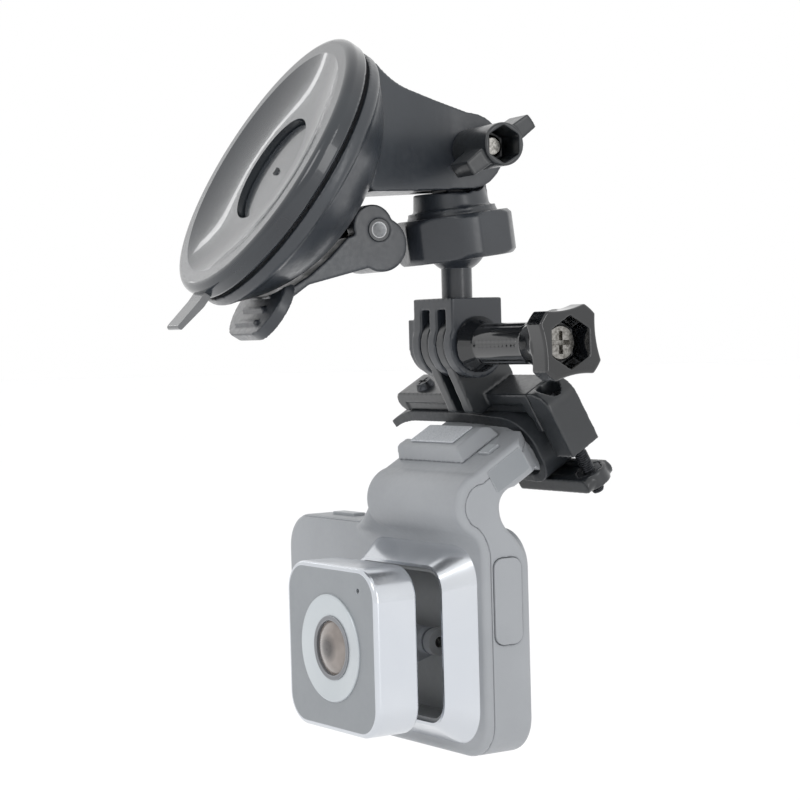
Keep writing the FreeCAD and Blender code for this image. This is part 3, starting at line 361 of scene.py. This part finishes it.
def soften(obj, width):
    """Join the facets and round the sharp edges with a small radius."""
    join_facets(obj)
    flat = obj.modifiers.new("flat", "DECIMATE")
    flat.decimate_type = "DISSOLVE"
    flat.angle_limit = FLAT_ANGLE
    bevel = obj.modifiers.new("bevel", "BEVEL")
    bevel.width = width * MM
    bevel.segments = BEVEL_SEGMENTS
    bevel.limit_method = "ANGLE"
    bevel.angle_limit = SHARP_ANGLE
    bevel.miter_outer = "MITER_ARC"
    bevel.harden_normals = True
    bevel.use_clamp_overlap = True
    weighted = obj.modifiers.new("weighted", "WEIGHTED_NORMAL")
    weighted.keep_sharp = True


def mould(obj, cell, rounds):
    """Close the surface into one moulded skin with softly rounded edges."""
    join_facets(obj)
    skin = obj.modifiers.new("skin", "REMESH")
    skin.mode = "VOXEL"
    skin.voxel_size = cell * MM
    skin.use_smooth_shade = True
    smooth = obj.modifiers.new("smooth", "SMOOTH")
    smooth.factor = 0.5
    smooth.iterations = rounds


# radius of the rounded edges in millimetres
EDGE_RADII = {
    0.12: ["screen", "slot_cover", "arm_nut", "prong_nut", "jaw_nut",
           "thumb_bolt", "power_port", "power_button", "latch_button", "label_plate"],
    0.3: ["shoe_pad", "battery", "speaker"],
}
for radius, names in EDGE_RADII.items():
    for name in names:
        soften(nodes[name], radius)

# size of the skin's cells in millimetres, and rounds of smoothing
SKINS = {
    (0.32, 5): ["cup_housing"],
    (0.28, 4): ["lock_lever", "socket_stem", "collar_nut", "prong_block", "clamp_frame", "clamp_block",
                "lower_jaw", "mount_shoe"],
    (0.22, 4): ["thumb_knob", "wing_knob", "clamp_liner"],
    (0.3, 3): ["front_shell", "rear_shell"],
}
for (cell, rounds), names in SKINS.items():
    for name in names:
        mould(nodes[name], cell, rounds)


# ---- pieces made here ---------------------------------------------------------------------
def new_object(name, bm, material):
    mesh = bpy.data.meshes.new(name)
    bmesh.ops.recalc_face_normals(bm, faces=bm.faces)
    bm.to_mesh(mesh)
    bm.free()
    mesh.shade_smooth()
    obj = bpy.data.objects.new(name, mesh)
    bpy.context.scene.collection.objects.link(obj)
    return finish(obj, material)


def tube(bm, rings):
    """Skin through rings of points, closed at both ends."""
    loops = [[bm.verts.new(point) for point in ring] for ring in rings]
    for lower, upper in zip(loops, loops[1:]):
        for i in range(len(lower)):
            j = (i + 1) % len(lower)
            bm.faces.new((lower[i], lower[j], upper[j], upper[i]))
    bm.faces.new(loops[0][::-1])
    bm.faces.new(loops[-1])


# the clamp screw, in millimetres in the clamp's frame
SCREW_X = 27.9
SCREW_Y = 42.2
SCREW_TIP = 13.4
THREAD_END = 24.0
HEAD_SEAT = 35.4
HEAD_TOP = 38.2
HEAD_RADIUS = 2.45
KEY_RADIUS = 1.3                    # of the recess for the key
KEY_DEPTH = 1.4
PITCH = 0.5
ROOT_RADIUS = 1.2
CREST_RADIUS = 1.5
CREST_SHARE = 1.35                  # above 1 it leaves a flat on the crest
SCREW_SIDES = 48
RING_STEP = 0.05


def screw_ring(z, radii):
    """Ring of points round the screw's axis, one for each radius."""
    ring = []
    for i, radius in enumerate(radii):
        turned = 2 * math.pi * i / SCREW_SIDES
        x = SCREW_X + radius * math.cos(turned)
        y = SCREW_Y + radius * math.sin(turned)
        ring.append(CLAMP @ (Vector((x, y, z)) * MM))
    return ring


def thread_radius(z, share):
    """Radius at a height and a share of a turn; the thread fades out at both ends."""
    phase = (z / PITCH - share) % 1.0
    height = 1 - abs(2 * phase - 1)
    fade = min(1.0, (z - SCREW_TIP) / PITCH, (THREAD_END - z) / PITCH)
    depth = CREST_RADIUS - ROOT_RADIUS
    return ROOT_RADIUS + depth * min(1.0, CREST_SHARE * height) * max(fade, 0.0)


def shank_and_head():
    """Heights and radii of the plain shank, the cylinder head and its recess."""
    return [
        (THREAD_END, CREST_RADIUS),
        (HEAD_SEAT - 0.05, CREST_RADIUS),
        (HEAD_SEAT, CREST_RADIUS + 0.05),
        (HEAD_SEAT + 0.02, HEAD_RADIUS - 0.05),
        (HEAD_SEAT + 0.12, HEAD_RADIUS),
        (HEAD_TOP - 0.2, HEAD_RADIUS),
        (HEAD_TOP - 0.05, HEAD_RADIUS - 0.05),
        (HEAD_TOP, HEAD_RADIUS - 0.2),
        (HEAD_TOP, KEY_RADIUS + 0.15),
        (HEAD_TOP - 0.1, KEY_RADIUS + 0.05),
        (HEAD_TOP - KEY_DEPTH, KEY_RADIUS),
        (HEAD_TOP - KEY_DEPTH - 0.05, KEY_RADIUS - 0.4),
    ]


def clamp_thread():
    """Screw of the clamp with a rolled thread below its cylinder head."""
    rings = []
    for step in range(int((THREAD_END - SCREW_TIP) / RING_STEP)):
        z = SCREW_TIP + RING_STEP * step
        rings.append(screw_ring(z, [thread_radius(z, i / SCREW_SIDES) for i in range(SCREW_SIDES)]))
    for z, radius in shank_and_head():
        rings.append(screw_ring(z, [radius] * SCREW_SIDES))
    bm = bmesh.new()
    tube(bm, rings)
    return new_object("clamp_screw_thread", bm, "black_steel")


screw = clamp_thread()
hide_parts("clamp_screw")
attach(screw, "jaw_screw")


# ---- camera, light and floor --------------------------------------------------------------
VIEW_AZIMUTH = math.radians(65.15)
VIEW_HEIGHT = math.radians(1.78)
VIEW_ROLL = math.radians(-1.52)
CAMERA_PLACE = Vector((428.85, -167.07, -38.0)) * MM
SENSOR_WIDTH = 36.0
FOCAL_LENGTH = 95.5
NEAR_CLIP = 0.01
FLOOR_RADIUS = 8.0
FLOOR_GAP = 0.05                    # below the lowest point of the object
FLOOR_GLOW = 0.06


def aim(location, target):
    """Rotation that points a light from its location at the target."""
    return (Vector(target) - Vector(location)).to_track_quat("-Z", "Y").to_matrix().to_4x4()


def add_camera():
    """Camera at the right front, a little above the middle of the object."""
    reach = math.cos(VIEW_HEIGHT)
    back = Vector((math.sin(VIEW_AZIMUTH) * reach, -math.cos(VIEW_AZIMUTH) * reach,
                   math.sin(VIEW_HEIGHT)))
    level = Vector((math.cos(VIEW_AZIMUTH), math.sin(VIEW_AZIMUTH), 0))
    upright = level.cross(-back)
    right = math.cos(VIEW_ROLL) * level + math.sin(VIEW_ROLL) * upright
    up = -math.sin(VIEW_ROLL) * level + math.cos(VIEW_ROLL) * upright
    data = bpy.data.cameras.new("camera")
    data.sensor_width = SENSOR_WIDTH
    data.lens = FOCAL_LENGTH
    data.clip_start = NEAR_CLIP
    camera = bpy.data.objects.new("camera", data)
    rotation = Matrix((right, up, back)).transposed().to_4x4()
    camera.matrix_world = Matrix.Translation(CAMERA_PLACE) @ rotation
    bpy.context.scene.collection.objects.link(camera)
    bpy.context.scene.camera = camera


def add_softbox(name, location, target, size, power):
    data = bpy.data.lights.new(name, "AREA")
    data.shape = "RECTANGLE"
    data.size, data.size_y = size
    data.energy = power
    light = bpy.data.objects.new(name, data)
    light.matrix_world = Matrix.Translation(Vector(location)) @ aim(location, target)
    bpy.context.scene.collection.objects.link(light)


def add_floor():
    """Wide pale floor under the object."""
    mesh = bpy.data.meshes.new("floor")
    bm = bmesh.new()
    bmesh.ops.create_circle(bm, cap_ends=True, segments=96, radius=FLOOR_RADIUS)
    bm.to_mesh(mesh)
    bm.free()
    floor = bpy.data.objects.new("floor", mesh)
    floor.location = (0, 0, cad_box[0][2] - FLOOR_GAP)
    surface = Surface("floor_paint", Specular_IOR_Level=0.1)
    surface.colour(surface.mix(surface.noise(2, 2), tint("#fbfbfb"), tint("#f6f6f7")))
    surface.roughness(surface.spread(surface.noise(30, 2), 0.8, 0.9))
    surface.shader.inputs["Emission Color"].default_value = (1.0, 1.0, 1.0, 1.0)
    surface.shader.inputs["Emission Strength"].default_value = FLOOR_GLOW
    mesh.materials.append(surface.material)
    bpy.context.scene.collection.objects.link(floor)


def add_world():
    world = bpy.data.worlds.new("studio")
    world.use_nodes = True
    background = world.node_tree.nodes["Background"]
    background.inputs["Color"].default_value = (1.0, 1.0, 1.0, 1.0)
    background.inputs["Strength"].default_value = 1.0
    bpy.context.scene.world = world


add_camera()
centre = (cad_box[0] + cad_box[1]) / 2
add_softbox("key", (0.45, -0.75, 0.6), centre, (0.35, 0.35), 1.5)
add_softbox("side", (0.9, 0.35, 0.1), centre, (0.2, 0.6), 1.1)
add_softbox("pad_glow", (-0.81, -0.17, 0.33), (0, 0, 0), (0.04, 0.3), 0.12)
add_floor()
add_world()
bpy.context.scene.view_settings.view_transform = "Standard"
